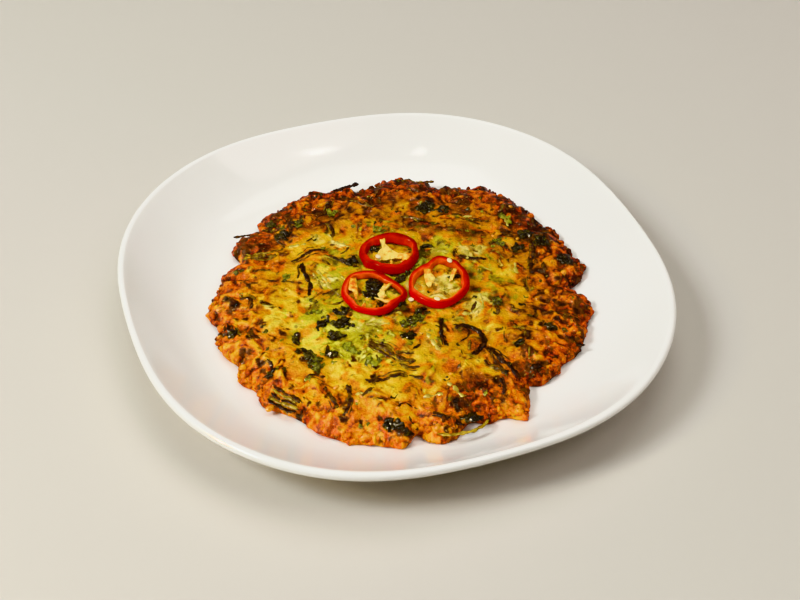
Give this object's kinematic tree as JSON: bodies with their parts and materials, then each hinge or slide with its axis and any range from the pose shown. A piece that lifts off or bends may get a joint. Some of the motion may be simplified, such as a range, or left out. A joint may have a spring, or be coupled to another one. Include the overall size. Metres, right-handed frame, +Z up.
{
  "type": "mung bean pancake on plate",
  "caption": "Crisp pan-fried mung bean pancake with greens in the batter and sliced red chilli on top, lying flat on a soft-cornered white coupe plate.",
  "frame": {"origin": "under the middle of the plate, on the surface that the plate stands on", "axes": "+Z up, -Y towards the diner, +X to the diner's right"},
  "size_m": [0.2488, 0.2488, 0.026],
  "materials": {
    "porcelain": "white glazed porcelain",
    "fried_batter": "pan-fried, crisp and slightly oily",
    "chilli": "wet cut red chilli"
  },
  "bodies": {
    "root": {"plate": "porcelain", "pancake": "fried_batter", "chilli_back": "chilli", "chilli_left": "chilli", "chilli_right": "chilli"}
  },
  "joints": []
}
